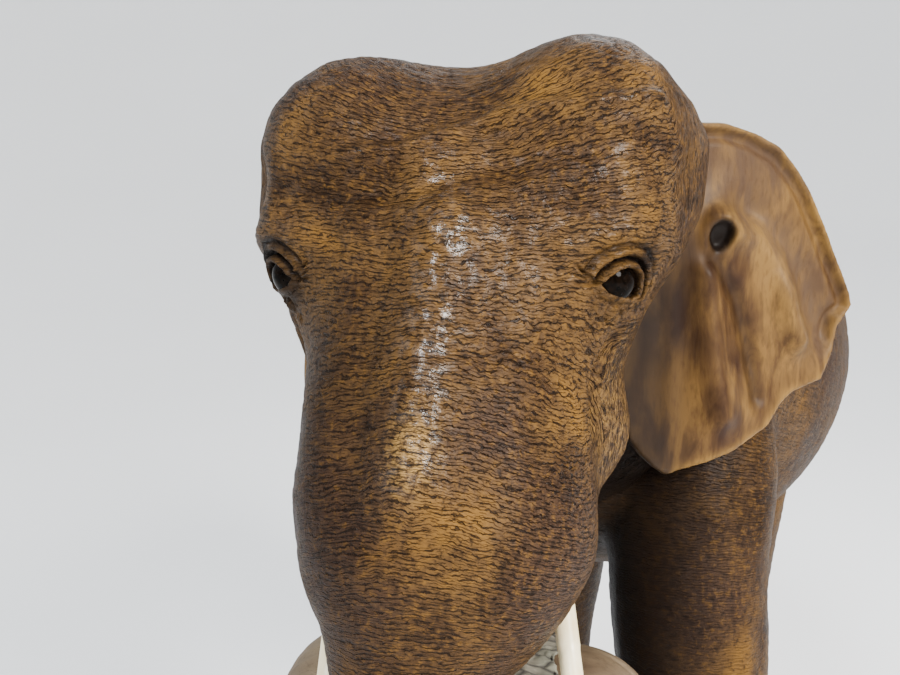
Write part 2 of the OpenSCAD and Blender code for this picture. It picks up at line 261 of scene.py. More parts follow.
def outline_distance(uv, outline):
    """Distance to a closed outline, negative inside it."""
    pts = np.array(outline + outline[:1], float)
    d, _ = to_line(np.column_stack([uv, np.zeros(len(uv))]), [(x, y, 0) for x, y in pts])
    inside = np.zeros(len(uv), bool)
    for (x0, y0), (x1, y1) in zip(pts, pts[1:]):
        spans = (y0 > uv[:, 1]) != (y1 > uv[:, 1])
        at = x0 + (uv[:, 1] - y0) / (y1 - y0 if y1 != y0 else 1) * (x1 - x0)
        inside ^= spans & (uv[:, 0] < at)
    return np.where(inside, -d, d)


def eye_place(q):
    """Place over the left eye: backward, up, from its opening, above its corners, at its depth."""
    r = q - EYE_AT
    u, v, out = r @ EYE_BACK, r @ EYE_UP, r @ EYE_OUT
    d = outline_distance(np.column_stack([u, v]), EYE_OPENING)
    above = step(v + 0.3 + LID_SLOPE * (u + 4.6), -0.4, 0.9)
    return u, v, d, above, step(out, -8, -5)


def eye_region(q):
    """How far to raise the wood round the left eye: lids, creases, crow's feet and warts."""
    u, v, d, above, level = eye_place(q)
    raise_by = -3.0 * step(d, 0.45, -0.35)
    for middle, width, height, more in LIDS:
        raise_by += (height + more * above) * bump(d - middle, width)
    ahead = u - EYE_CORNER[0]
    along = step(u, -13, -10.5) * step(u, -5.0, -6.6)
    for slope, bend in CROW_FEET:
        line = v - EYE_CORNER[1] - slope * ahead - bend * ahead ** 2
        raise_by += along * (0.35 * bump(line - 0.85, 0.45) - 0.8 * bump(line, 0.4))
    for at_u, at_v, radius, height in WARTS:
        wart = np.hypot(u - at_u, v - at_v)
        raise_by += height * bump(wart, radius * 0.7) - 0.4 * bump(wart - radius * 1.25, 0.45)
    return raise_by * step(np.hypot(u, v), EYE_REACH, 10) * level


def eye_painted_shade(q):
    """Painted shade in the eye's opening, its creases and the hollow behind it."""
    u, v, d, above, level = eye_place(q)
    shade = step(d, 0.6, -0.2) + 0.6 * bump(np.hypot(u - 6.5, v - 5.5), 3.0)
    shade += above * (0.9 * bump(d - 2.4, 0.55) + 0.5 * bump(d - 5.5, 0.7))
    return shade * level * (np.hypot(u, v) < EYE_REACH)


def head_relief(q):
    """Raises and hollows that a carver cut into the head, in millimetres."""
    d, at = to_line(q, LEDGE)
    rise = 1.8 * bump(d, 1.9) * step(at, 0.02, 0.2) - 2.2 * near_line(q, HOLLOW, 4.5)
    d, at = to_line(q, BRIDGE)
    rise += 1.8 * bump(d, 4.5) * step(at, 0, 0.3) - 0.9 * bump(d - 14, 5)
    rise -= 1.6 * near_line(q, BESIDE_BRIDGE, 8) + 2.8 * near_place(q, NOTCH, 7)
    for sign in (1, -1):
        side = mirrored(q, sign)
        d, at = to_line(side, BROW)
        rise += 1.7 * bump(d, 3.2) * (1 - 0.5 * at)
        d, at = to_line(side, CHEEK_FOLD)
        rise -= 2.6 * bump(d, 2.6) * step(at, -0.1, 0.5)
        rise -= 2.4 * near_place(side, TEMPLE, 8, (1, 1, 1.3))
    return rise


def trunk_angle(q):
    """Angle around the log: 0 where the trunk passes in front of it, 90 degrees below it."""
    return np.arctan2(-(q[:, 2] - LOG_AT[2]), -(q[:, 1] - LOG_AT[1]))


def on_curl(q):
    """1 on the part of the trunk that winds round the log."""
    return step(np.abs(q[:, 0]), 24, 20) * step(q[:, 2], -112, -122)


def trunk_relief(q):
    """Rings pressed into the curl of the trunk, and two nostrils in its tip."""
    wound = CURL_MID * trunk_angle(q)
    rise = 0.35 * np.sin(wound * 2 * math.pi / RING_PITCH) * on_curl(q)
    for sign in (1, -1):
        rise -= 2.2 * near_place(q, TRUNK_TIP + [NOSTRIL_SIDE * sign, 0, 0], 2.0)
    return rise


def stroke_field(q):
    """A height that climbs 1 mm for each millimetre travelled across the chisel strokes."""
    c = q - CROWN_MID
    x, y, z = np.abs(q[:, 0]), q[:, 1], q[:, 2]
    reach = np.hypot(c[:, 0], c[:, 1])
    rim = CROWN_RADIUS * math.pi / 2
    crown = CROWN_RADIUS * np.arctan2(reach, np.maximum(c[:, 2], 1e-3))
    v = np.where(c[:, 2] > 0, crown, rim - c[:, 2])
    v = v - 0.010 * np.minimum(x, 40) ** 2 * step(z, 8, -30) * step(z, -95, -60)
    temple = step(x, 45, 52) * step(y, 6, 16) * step(z, -12, 4)
    v = v * (1 - temple) + (y * 1.05 + 60) * temple
    cheek = step(y, -3, 6) * step(z, -8, -20) * step(z, -75, -60) * step(x, 26, 33)
    v = v * (1 - cheek) + (x * 0.73 + y * 0.68 + 60) * cheek
    neck = step(y, 44, 56) * step(z, -90, -60)
    v = v * (1 - neck) + (y + 30) * neck
    wound = rim + CROWN_MID[2] - LOG_AT[2] + CURL_MID * trunk_angle(q)
    curl = on_curl(q)
    return v * (1 - curl) + wound * curl


def furrows(q, stroke, long, across, seed):
    """Rows of narrow cuts, 0 in a cut and 1 on the wood between. They run along the strokes."""
    drawn = np.stack([(q[:, 0] + q[:, 1]) / long, q[:, 2] / long, stroke / across], 1)
    return np.minimum(np.abs(ripple(drawn, seed)) * 3.5, 1)


# ---------------------------------------------------------------- carving the body and legs
# Places on the body are measured from the eyes' midpoint, in the row frame.
# Feet, forward ones first: (x, y, radius, toenails)
FEET = [(53, 67, 24, 5), (-47, 89, 24, 5), (32, 228, 22, 4), (-42, 261, 22, 4)]
KNEES = [(52, 72, -205), (-47, 92, -205), (32, 234, -222), (-43, 266, -222)]
BLADE = [(58, 92, 10), (66, 96, -30), (60, 84, -70)]
ELBOW = [(30, 108, -92), (52, 100, -96), (68, 88, -100)]
FLANK = [(50, 208, -98), (66, 214, -70), (74, 220, -40)]
NAIL_STEP = math.radians(29)
NAIL_HALF_WIDTH = 4.6
NAIL_HALF_HEIGHT = 5.6
NAIL_Z = -287.5
KNEE_FOLD_PITCH = 6.5
SOLE_Z = -295
BODY_VOXEL = 1.6


def toenails(b):
    """Rounded nails along the front of each foot."""
    rise = np.zeros(len(b))
    for x, y, radius, count in FEET:
        around = np.arctan2(b[:, 0] - x, -(b[:, 1] - y))
        near = np.hypot(b[:, 0] - x, b[:, 1] - y) < radius + 8
        for k in range(count):
            turn = (k - (count - 1) / 2) * NAIL_STEP
            across = (around - turn) * radius / NAIL_HALF_WIDTH
            up = (b[:, 2] - NAIL_Z) / NAIL_HALF_HEIGHT
            d = np.sqrt(across ** 2 + up ** 2)
            nail = 1.5 * step(d, 1.02, 0.75) - 0.7 * bump(d - 1.18, 0.16)
            rise += nail * near
    return rise


def body_relief(b):
    """Shoulder blades, folds at the elbows, flanks and knees, a ridge along the back."""
    rise = 2.0 * bump(b[:, 0], 9) * step(b[:, 2], 20, 36) * step(b[:, 1], 60, 100)
    for sign in (1, -1):
        side = mirrored(b, sign)
        rise += 2.2 * near_line(side, BLADE, 13)
        rise -= 1.6 * near_line(side, ELBOW, 4) + 1.8 * near_line(side, FLANK, 6)
    for knee in KNEES:
        r = b - knee
        reach = step(np.hypot(r[:, 0], r[:, 1]), 34, 28) * step(np.abs(r[:, 2]), 22, 8)
        rise += 0.5 * np.sin(r[:, 2] * 2 * math.pi / KNEE_FOLD_PITCH) * reach
    return rise + toenails(b)


def finer(obj, near):
    """Splits the faces round the vertices that near(head-axis points) picks, once."""
    mesh = obj.data
    picked = np.nonzero(near(head_axes(verts(mesh))))[0]
    build = bmesh.new()
    build.from_mesh(mesh)
    build.verts.ensure_lookup_table()
    faces = {f for i in picked for f in build.verts[int(i)].link_faces}
    edges = list({e for f in faces for e in f.edges})
    bmesh.ops.subdivide_edges(build, edges=edges, cuts=1, use_grid_fill=True)
    build.to_mesh(mesh)
    build.free()


def near_eyes(q, radius):
    return np.minimum(np.linalg.norm(q - EYE_AT, axis=1),
                      np.linalg.norm(mirrored(q, -1) - EYE_AT, axis=1)) < radius


def at_seam(p):
    """1 at the neck joint, where the points stay put while the rest is smoothed."""
    return step(np.abs(head_axes(p)[:, 1] - NECK_Y), 2.5, 0.8)


def open_sockets(q):
    """Moves the wood at each tusk's socket off the tusk's own line, to a round mouth."""
    for mouth, way in TUSK_LINES:
        way = way / np.linalg.norm(way)
        r = q - mouth
        along = r @ way
        radial = r - along[:, None] * way
        d = np.maximum(np.linalg.norm(radial, axis=1), 1e-3)
        inside = (along > -22) & (along < 8) & (d < SOCKET_RADIUS)
        q = q + np.where(inside, SOCKET_RADIUS / d - 1, 0)[:, None] * radial
    return q


def seam_fade(q):
    """0 at the neck joint and 1 a few millimetres away from it."""
    return step(np.abs(q[:, 1] - NECK_Y), 0.5, 5)


def head_finish(q):
    """Where the head's wood is cut, worn and polished, and where shade is painted on it."""
    side = np.column_stack([np.abs(q[:, 0]), q[:, 1:]])
    lids = step(np.linalg.norm(side - EYE_AT, axis=1), 12, 7)
    worn = near_place(q, WORN_AT, 4.5, (1, 1, 2.2)) + 0.35 * near_place(side, JOWL, 12, (1, 1, 1.6))
    # Painted shade in the eyes' openings and creases, round both eyes, and more round the right eye, on
    # the side away from the key lamp
    stain = eye_painted_shade(q) + eye_painted_shade(mirrored(q, -1)) + lids * (0.3 + 0.3 * (q[:, 0] < 0))
    # Painted shade under the back of the head, behind the jowls and down to the chest
    stain += 0.93 * step(q[:, 1], 30, 40) * step(q[:, 2], -22, -42)
    # Painted shade on the lower part of the head's right side, away from the key lamp
    stain += 0.30 * step(q[:, 0], 2, -14) * step(q[:, 2], 6, -14)
    polish = near_line(q, BRIDGE, 4.5) + 0.12 * step(q[:, 2], -20, 10)
    return {"chisel": 1 - 0.5 * lids, "wear": worn, "stain": np.clip(stain, 0, 1),
            "polish": np.clip(polish, 0, 1)}


def head_piece(material):
    """Head and trunk: relief, eyelids, socket mouths, and the chisel strokes' direction."""
    nodes = ["head", "left_eye", "right_eye", "left_eye_backing", "right_eye_backing"]
    obj = remeshed(nodes, "head_carving", HEAD_VOXEL, CARVED_SMOOTHING, at_seam)
    for radius in (15, 12):
        finer(obj, lambda q: near_eyes(q, radius))
    mesh = obj.data
    q = open_sockets(head_axes(verts(mesh)))
    p = from_head_axes(q)
    stroke = stroke_field(q)
    rise = head_relief(q) + trunk_relief(q)
    rise += 0.35 * ripple(q / 13, 1) + 0.22 * (furrows(q, stroke, 6, 2.4, 2) - 0.5)
    p += normals(mesh) * (rise * seam_fade(q))[:, None]
    for sign in (1, -1):
        way = row_axes(EYE_OUT * [sign, 1, 1])
        p += way * eye_region(mirrored(q, sign))[:, None]
    put_verts(mesh, p)
    wood_attributes(mesh, stroke=stroke, **head_finish(q))
    return finish_piece(obj, "carving", ["head"], material)


def body_piece(material):
    """Torso and legs. The neck joint and the soles stay flat."""
    obj = remeshed(["body"], "body_carving", BODY_VOXEL, CARVED_SMOOTHING,
                   lambda p: np.maximum(at_seam(p), step(p[:, 2], 2, 0)))
    finer(obj, lambda q: q[:, 2] < SOLE_Z + 17)
    mesh = obj.data
    p = verts(mesh)
    b = p - EYE_MID
    stroke = b[:, 2] + 0.35 * b[:, 1] * step(b[:, 2], -120, -60)
    rise = body_relief(b)
    rise += 0.7 * ripple(b / 26, 3) + 0.22 * (furrows(b, stroke, 10, 4.5, 4) - 0.5)
    fade = seam_fade(head_axes(p)) * step(b[:, 2], SOLE_Z, SOLE_Z + 2)
    p += normals(mesh) * (rise * fade)[:, None]
    p[:, 2] = np.maximum(p[:, 2], 0)
    put_verts(mesh, p)
    # Painted shade under the chest between the forelegs, on top of a light even staining all over
    painted_shade_between_legs = step(b[:, 1], 125, 80) * step(np.abs(b[:, 0]), 66, 42) * step(b[:, 2], -20, -50)
    wood_attributes(mesh, stroke=stroke, chisel=0.35 + 0.25 * step(b[:, 2], -120, -60),
                    stain=0.15 + 0.7 * painted_shade_between_legs)
    return finish_piece(obj, "carving", ["body"], material)


# ---------------------------------------------------------------- materials
def node_material(name):
    """A new material, its shader, a maker of nodes and the links between them."""
    mat = bpy.data.materials.new(name)
    mat.use_nodes = True
    nodes = mat.node_tree.nodes
    links = mat.node_tree.links
    shader = nodes["Principled BSDF"]

    def add(kind, inputs=None, **settings):
        """A shader node whose inputs are values or other nodes' outputs."""
        node = nodes.new("ShaderNode" + kind)
        for key, value in settings.items():
            setattr(node, key, value)
        for key, value in (inputs or {}).items():
            if isinstance(value, bpy.types.NodeSocket):
                links.new(value, node.inputs[key])
            else:
                node.inputs[key].default_value = value
        return node

    return mat, shader, add, links


def mixed(add, factor, a, b):
    """A colour between a and b."""
    node = add("Mix", data_type="RGBA")
    for socket, value in ((node.inputs[0], factor), (node.inputs[6], a), (node.inputs[7], b)):
        if isinstance(value, bpy.types.NodeSocket):
            node.id_data.links.new(value, socket)
        else:
            socket.default_value = value
    return node.outputs[2]


def maths(add, operation, a, b=0.0):
    """Result of one operation on two values."""
    return add("Math", {0: a, 1: b}, operation=operation).outputs[0]


def stored(add, name):
    """A value that a piece keeps at each point of its surface."""
    return add("Attribute", attribute_name=name).outputs["Fac"]


def clouds(add, place, scale, detail, roughness=0.5, distortion=0.0):
    """Cloudy pattern with values round 0.5."""
    inputs = {"Vector": place, "Scale": scale, "Detail": detail, "Roughness": roughness,
              "Distortion": distortion}
    return add("TexNoise", inputs).outputs["Fac"]


def ramp(add, value, stops):
    """Colour ramp with (position, colour) stops."""
    node = add("ValToRGB", {"Fac": value})
    band = node.color_ramp.elements
    while len(band) < len(stops):
        band.new(0.5)
    for element, (place, colour) in zip(band, stops):
        element.position = place
        element.color = colour
    return node.outputs["Color"]


def grey(v):
    return (v, v, v, 1)


DARK = (0.0038, 0.0020, 0.0012, 1)
UMBER = (0.014, 0.0070, 0.0032, 1)
BROWN = (0.031, 0.0155, 0.0060, 1)
TAN = (0.055, 0.0285, 0.0095, 1)
OCHRE = (0.105, 0.051, 0.0105, 1)
PURPLE = (0.026, 0.0140, 0.0095, 1)
PALE = (0.20, 0.115, 0.034, 1)
EAR_DARK = (0.016, 0.0060, 0.0020, 1)
EAR_BROWN = (0.042, 0.0205, 0.0065, 1)
EAR_GOLD = (0.092, 0.0475, 0.0125, 1)
EAR_PAINTED_LIGHT_OCHRE = (0.150, 0.080, 0.0180, 1)
EAR_PAINTED_SHADE_AND_SKY = (0.052, 0.0315, 0.0190, 1)


def carved_wood():
    """Dark stained wood under thin varnish, cut all over with short chisel strokes."""
    mat, shader, add, links = node_material("carved_wood")
    place = add("TexCoord").outputs["Object"]
    stroke = stored(add, "stroke")
    chisel = stored(add, "chisel")
    wear = stored(add, "wear")
    stain = stored(add, "stain")
    polish = stored(add, "polish")

    def cuts(pitch, long, waver, seed):
        """Rows of short cuts along the strokes, a pitch apart: 1 in a cut and 0 beside it."""
        drift = add("TexNoise", {"Vector": place, "Scale": 150.0, "Detail": 4.0,
                                 "Roughness": 0.62, "W": seed},
                    noise_dimensions="4D").outputs["Fac"]
        rows = maths(add, "ADD", maths(add, "MULTIPLY", stroke, 1 / pitch),
                     maths(add, "MULTIPLY", drift, waver))
        slope = add("VectorMath", {0: place, 1: (1000 / long,) * 3}, operation="MULTIPLY")
        dash = add("TexNoise", {"Vector": slope.outputs[0], "W": rows, "Scale": 1.0,
                                "Detail": 1.5}, noise_dimensions="4D").outputs["Fac"]
        part = maths(add, "FRACT", rows)
        edge = maths(add, "MULTIPLY", maths(add, "ABSOLUTE", maths(add, "SUBTRACT", part, 0.5)), 2.0)
        width = ramp(add, dash, [(0.36, grey(0)), (0.62, grey(0.42))])
        return ramp(add, maths(add, "SUBTRACT", width, edge), [(0.0, grey(0)), (0.20, grey(1))])

    groove = cuts(1.2, 2.4, 4.2, 0.0)
    fine = cuts(0.65, 1.5, 6.0, 7.0)
    cloud = clouds(add, place, 42.0, 5.0, roughness=0.62, distortion=0.6)
    broad = clouds(add, place, 17.0, 3.0, distortion=0.4)
    fleck = clouds(add, place, 620.0, 3.0, roughness=0.7)
    tone = ramp(add, cloud, [(0.32, UMBER), (0.45, BROWN), (0.57, TAN), (0.70, OCHRE)])
    tone = mixed(add, ramp(add, broad, [(0.46, grey(0)), (0.64, grey(0.7))]), tone, PURPLE)
    tone = mixed(add, ramp(add, fleck, [(0.52, grey(0)), (0.68, grey(0.6))]), tone, OCHRE)
    tone = mixed(add, ramp(add, fleck, [(0.32, grey(0.75)), (0.46, grey(0))]), tone, DARK)
    worn = maths(add, "MULTIPLY", wear, ramp(add, fleck, [(0.40, grey(0.1)), (0.58, grey(1))]))
    tone = mixed(add, worn, tone, PALE)
    depth = maths(add, "MULTIPLY", groove, chisel)
    tone = mixed(add, maths(add, "MULTIPLY", depth, 0.82), tone, DARK)
    shallow = maths(add, "MULTIPLY", fine, chisel)
    tone = mixed(add, maths(add, "MULTIPLY", shallow, 0.6), tone, DARK)
    # Painted shade in recesses and on the side away from the key lamp, with some real staining
    tone = mixed(add, stain, tone, DARK)
    links.new(tone, shader.inputs["Base Color"])
    links.new(ramp(add, cloud, [(0.3, grey(0.42)), (0.7, grey(0.58))]), shader.inputs["Roughness"])
    glint = clouds(add, place, 330.0, 2.0)
    shine = ramp(add, glint, [(0.47, grey(0.05)), (0.60, grey(0.8))])
    links.new(maths(add, "MULTIPLY", polish, shine), shader.inputs["Coat Weight"])
    shader.inputs["Coat Roughness"].default_value = 0.2
    shader.inputs["Specular IOR Level"].default_value = 0.05
    height = maths(add, "ADD", groove, maths(add, "MULTIPLY", fine, 0.4))
    height = maths(add, "MULTIPLY", height, chisel)
    height = maths(add, "SUBTRACT", maths(add, "MULTIPLY", fleck, 0.5), height)
    relief = add("Bump", {"Height": height, "Distance": 0.0005, "Strength": 1.0})
    links.new(relief.outputs[0], shader.inputs["Normal"])
    links.new(relief.outputs[0], shader.inputs["Coat Normal"])
    return mat


def ear_skin():
    """Sanded golden wood with ochre streaks; painted light on the crests, painted purple shade and sky
    reflection, painted shade by the cheek.
    """
    mat, shader, add, links = node_material("ear_skin")
    place = add("TexCoord").outputs["Object"]
    valley = stored(add, "valley")
    stain = stored(add, "stain")
    ridge = stored(add, "ridge")
    turned = add("Mapping", {"Vector": place, "Rotation": (0.0, 0.45, 0.0), "Scale": (2.6, 2.6, 0.7)})
    streaks = clouds(add, turned.outputs[0], 62.0, 4.0, roughness=0.6, distortion=0.7)
    fine = clouds(add, turned.outputs[0], 420.0, 3.0)
    cloud = clouds(add, place, 36.0, 3.0, distortion=0.8)
    both = maths(add, "ADD", maths(add, "MULTIPLY", streaks, 0.5), maths(add, "MULTIPLY", cloud, 0.5))
    tone = ramp(add, both, [(0.38, EAR_DARK), (0.48, EAR_BROWN), (0.58, EAR_GOLD)])
    # Painted light: lighter ochre on the upper lobe's crest and the rim
    painted_crest_light = maths(add, "MULTIPLY", ridge, ramp(add, streaks, [(0.35, grey(0.2)), (0.6, grey(0.85))]))
    tone = mixed(add, painted_crest_light, tone, EAR_PAINTED_LIGHT_OCHRE)
    # Painted shade and painted sky reflection: purple in the valley and on the upper flange
    low = maths(add, "MULTIPLY", valley, ramp(add, streaks, [(0.35, grey(0.9)), (0.65, grey(0.35))]))
    tone = mixed(add, low, tone, EAR_PAINTED_SHADE_AND_SKY)
    tone = mixed(add, ramp(add, fine, [(0.5, grey(0)), (0.75, grey(0.4))]), tone, EAR_DARK)
    # Painted shade in the ear hole, the crease and behind the cheek, with some real staining
    tone = mixed(add, stain, tone, DARK)
    links.new(tone, shader.inputs["Base Color"])
    links.new(ramp(add, streaks, [(0.3, grey(0.42)), (0.7, grey(0.55))]), shader.inputs["Roughness"])
    shader.inputs["Specular IOR Level"].default_value = 0.08
    height = maths(add, "ADD", streaks, maths(add, "MULTIPLY", fine, 0.35))
    relief = add("Bump", {"Height": height, "Distance": 0.0003, "Strength": 0.35})
    links.new(relief.outputs[0], shader.inputs["Normal"])
    return mat


def smooth_wood(name, stops, streak, gloss):
    """Sanded and oiled wood with long streaks of grain along streak."""
    mat, shader, add, links = node_material(name)
    place = add("TexCoord").outputs["Object"]
    drawn = add("VectorMath", {0: place, 1: streak}, operation="MULTIPLY").outputs[0]
    grain = clouds(add, drawn, 60.0, 5.0, roughness=0.6, distortion=0.5)
    pores = clouds(add, drawn, 700.0, 2.0)
    cloud = clouds(add, place, 30.0, 3.0, distortion=0.8)
    both = maths(add, "ADD", maths(add, "MULTIPLY", grain, 0.55), maths(add, "MULTIPLY", cloud, 0.45))
    tone = ramp(add, both, stops)
    tone = mixed(add, ramp(add, pores, [(0.55, grey(0)), (0.75, grey(0.35))]), tone, DARK)
    links.new(tone, shader.inputs["Base Color"])
    shine = ramp(add, grain, [(0.3, grey(gloss)), (0.7, grey(gloss + 0.14))])
    links.new(shine, shader.inputs["Roughness"])
    shader.inputs["Specular IOR Level"].default_value = 0.2
    height = maths(add, "ADD", grain, maths(add, "MULTIPLY", pores, 0.3))
    relief = add("Bump", {"Height": height, "Distance": 0.0002, "Strength": 0.35})
    links.new(relief.outputs[0], shader.inputs["Normal"])
    return mat


def ivory():
    """Cream rod with faint lengthwise growth lines."""
    mat, shader, add, links = node_material("ivory")
    place = add("TexCoord").outputs["Object"]
    drawn = add("VectorMath", {0: place, 1: (1, 0.5, 0.25)}, operation="MULTIPLY").outputs[0]
    lines = clouds(add, drawn, 500.0, 3.0)
    cloud = clouds(add, place, 90.0, 3.0)
    tone = ramp(add, cloud, [(0.35, (0.60, 0.49, 0.27, 1)), (0.65, (0.72, 0.63, 0.42, 1))])
    tone = mixed(add, ramp(add, lines, [(0.5, grey(0)), (0.75, grey(0.25))]), tone,
                 (0.42, 0.31, 0.15, 1))
    links.new(tone, shader.inputs["Base Color"])
    links.new(ramp(add, lines, [(0.3, grey(0.28)), (0.7, grey(0.38))]), shader.inputs["Roughness"])
    shader.inputs["Subsurface Weight"].default_value = 0.12
    shader.inputs["Subsurface Radius"].default_value = (0.004, 0.003, 0.002)
    relief = add("Bump", {"Height": lines, "Distance": 0.0001, "Strength": 0.2})
    links.new(relief.outputs[0], shader.inputs["Normal"])
    return mat


def dark_glass():
    """Polished eye, nearly black, with a brown iris that barely shows."""
    mat, shader, add, links = node_material("dark_glass")
    place = add("TexCoord").outputs["Object"]
    fibres = clouds(add, place, 900.0, 4.0)
    tone = ramp(add, fibres, [(0.35, (0.0006, 0.0005, 0.0004, 1)), (0.75, (0.004, 0.002, 0.001, 1))])
    links.new(tone, shader.inputs["Base Color"])
    links.new(ramp(add, fibres, [(0.3, grey(0.04)), (0.8, grey(0.09))]),
              shader.inputs["Roughness"])
    shader.inputs["Specular IOR Level"].default_value = 0.02
    return mat


def rough_bark():
    """Weathered grey-green bark with dark cracks."""
    mat, shader, add, links = node_material("rough_bark")
    place = add("TexCoord").outputs["Object"]
    drawn = add("VectorMath", {0: place, 1: (0.35, 1, 1)}, operation="MULTIPLY").outputs[0]
    crust = clouds(add, drawn, 230.0, 5.0, roughness=0.65)
    cells = add("TexVoronoi", {"Vector": drawn, "Scale": 260.0},
                feature="DISTANCE_TO_EDGE").outputs["Distance"]
    lichen = clouds(add, place, 80.0, 4.0)
    tone = ramp(add, crust, [(0.32, (0.045, 0.038, 0.028, 1)), (0.5, (0.115, 0.103, 0.076, 1)),
                             (0.7, (0.20, 0.185, 0.140, 1))])
    tone = mixed(add, ramp(add, lichen, [(0.5, grey(0)), (0.7, grey(0.7))]), tone,
                 (0.085, 0.090, 0.062, 1))
    crack = ramp(add, cells, [(0.0, grey(0)), (0.12, grey(1))])
    tone = mixed(add, crack, (0.02, 0.017, 0.014, 1), tone)
    links.new(tone, shader.inputs["Base Color"])
    links.new(ramp(add, crust, [(0.3, grey(0.75)), (0.7, grey(0.95))]), shader.inputs["Roughness"])
    height = maths(add, "ADD", crust, maths(add, "MULTIPLY", crack, 0.4))
    relief = add("Bump", {"Height": height, "Distance": 0.0006, "Strength": 0.8})
    links.new(relief.outputs[0], shader.inputs["Normal"])
    return mat


def paper(name, tone):
    """Plain matt surface for the floor and backdrop."""
    mat, shader, add, links = node_material(name)
    place = add("TexCoord").outputs["Object"]
    cloud = clouds(add, place, 2.0, 2.0)
    low = tuple(c * 0.97 for c in tone) + (1,)
    links.new(ramp(add, cloud, [(0.3, low), (0.7, tone + (1,))]), shader.inputs["Base Color"])
    shader.inputs["Roughness"].default_value = 0.9
    return mat


# ---------------------------------------------------------------- ears
# Places on an ear are (distance out from its root, height), measured as in the CAD
EAR_ROOT = (44.0, 42.0)
EAR_CUP = 5.0
EAR_SWEEP = {"left_ear": math.radians(28), "right_ear": math.radians(66)}
EAR_RIM = [(8, -56), (15, -54), (27, -50), (37, -45), (44, -36), (56, -33), (61, -24), (62, -16),
           (66, -13), (65, -8), (56.5, 7), (48, 21), (43, 27), (37.5, 32), (29, 36), (20, 38),
           (8, 38)]
UPPER_LOBE = [(20, 12), (32, 8), (39, 1), (41.5, -7), (43, -14), (46.5, -20)]
LOWER_LOBE = [(15, -2), (18, -25), (21, -39)]
VALLEY = [(29, 14), (48, -3.5), (55, -19)]
CREASE = [(17, 3), (25, -8), (30, -22), (33, -36)]
EAR_HOLE = (18.7, 9.0)
# Shallow dents: (out, height, radius, depth)
EAR_DIMPLES = [(32.7, -26, 3.5, 0.8), (48.8, -26, 5, 1.0), (39.6, -30.5, 3, 0.6)]


def flat_line(sz, points):
    """Distance from each place on an ear to a line of such places."""
    return to_line(np.column_stack([sz, np.zeros(len(sz))]), [(a, b, 0) for a, b in points])[0]


def ear_relief(sz):
    """How far the sheet comes forward: two lobes, a crease, a valley, a hollow by the cheek."""
    out, up = sz.T
    upper = flat_line(sz, UPPER_LOBE)
    lower = flat_line(sz, LOWER_LOBE)
    rise = 3.4 * bump(upper, 4) + 2.2 * bump(upper, 9) + 2.6 * bump(lower, 4.5) + 2.6 * bump(lower, 10)
    rise -= 1.8 * bump(flat_line(sz, CREASE), 2.6) + 4.2 * bump(flat_line(sz, VALLEY), 6)
    rise -= 3.0 * step(out, 22, 6) * step(up, 10, -8) * step(out, 0, 12)
    for s, z, radius, depth in EAR_DIMPLES:
        rise -= depth * bump(np.hypot(out - s, up - z), radius)
    return rise


def ear_piece(node, name, side, material):
    """One ear: relief, a rolled rim, the ear hole, and where its colours lie."""
    obj = remeshed([node], name, voxel=0.7, smoothing=12)
    mesh = obj.data
    p = verts(mesh)
    q = mirrored(head_axes(p), side) - [EAR_ROOT[0], EAR_ROOT[1], 0]
    c, s = math.cos(EAR_SWEEP[node]), math.sin(EAR_SWEEP[node])
    out = q[:, 0] * c + q[:, 1] * s
    depth = -q[:, 0] * s + q[:, 1] * c - EAR_CUP * (out / 50) ** 2
    sz = np.column_stack([out, q[:, 2]])
    front = step(depth, 0.8, -0.8)
    root = step(out, -6, 6)
    edge = flat_line(sz, EAR_RIM)
    hole = np.hypot(out - EAR_HOLE[0], (q[:, 2] - EAR_HOLE[1]) / 1.25)
    # Painted shade, with some real staining, on the ear's lower part behind the cheek
    cheek = step(out, 18, 3) * step(q[:, 2], 26, 4)
    valley = bump(flat_line(sz, VALLEY), 8)
    rise = ear_relief(sz) * root
    rolled = root * front * step(q[:, 2] + 0.3 * out, -12, 4)
    rise += (1.4 * bump(edge - 0.6, 1.1) - 1.4 * bump(edge - 3.4, 1.4)) * rolled
    rise -= 2.9 * step(hole, 3.8, 1.8) * front
    rise += 0.5 * bump(hole - 4.8, 1.3) * front
    rise += 0.5 * ripple(np.column_stack([sz / 11, 0 * out]), 5) * root
    way = row_axes(np.array([s * side, -c, 0]))
    put_verts(mesh, p + way * rise[:, None])
    # Painted shade in the valley between the lobes, and a painted sky reflection on the upper flange
    attribute(mesh, "valley", np.clip(valley + 0.6 * step(q[:, 2], 14, 26), 0, 1))
    crease = bump(flat_line(sz, CREASE), 2.6)
    # Painted shade in the ear hole and the crease and behind the cheek
    attribute(mesh, "stain", np.clip(step(hole, 4.4, 2.8) + 0.8 * cheek + 0.45 * crease, 0, 1))
    # Painted light on the upper lobe's crest and along the rim
    attribute(mesh, "ridge", np.clip(bump(flat_line(sz, UPPER_LOBE), 6) + bump(edge, 2.0), 0, 1))
    return finish_piece(obj, "carving", [node], material)


# ---------------------------------------------------------------- tusks, tail, log and bark
TAIL_Y = 314
TAIL_RING_PITCH = 4.5
TUFT_HAIRS = 11
BARK_UNDERSIDE = 25.2


def tusk_piece(node, name, body, material):
    """Tusk with faint rings of growth."""
    obj = remeshed([node], name, voxel=0.4, smoothing=6)
    mesh = obj.data
    p = verts(mesh)
    rings = 0.05 * ripple(p / 9, 6)
    put_verts(mesh, p + normals(mesh) * rings[:, None])
    return finish_piece(obj, body, [node], material)


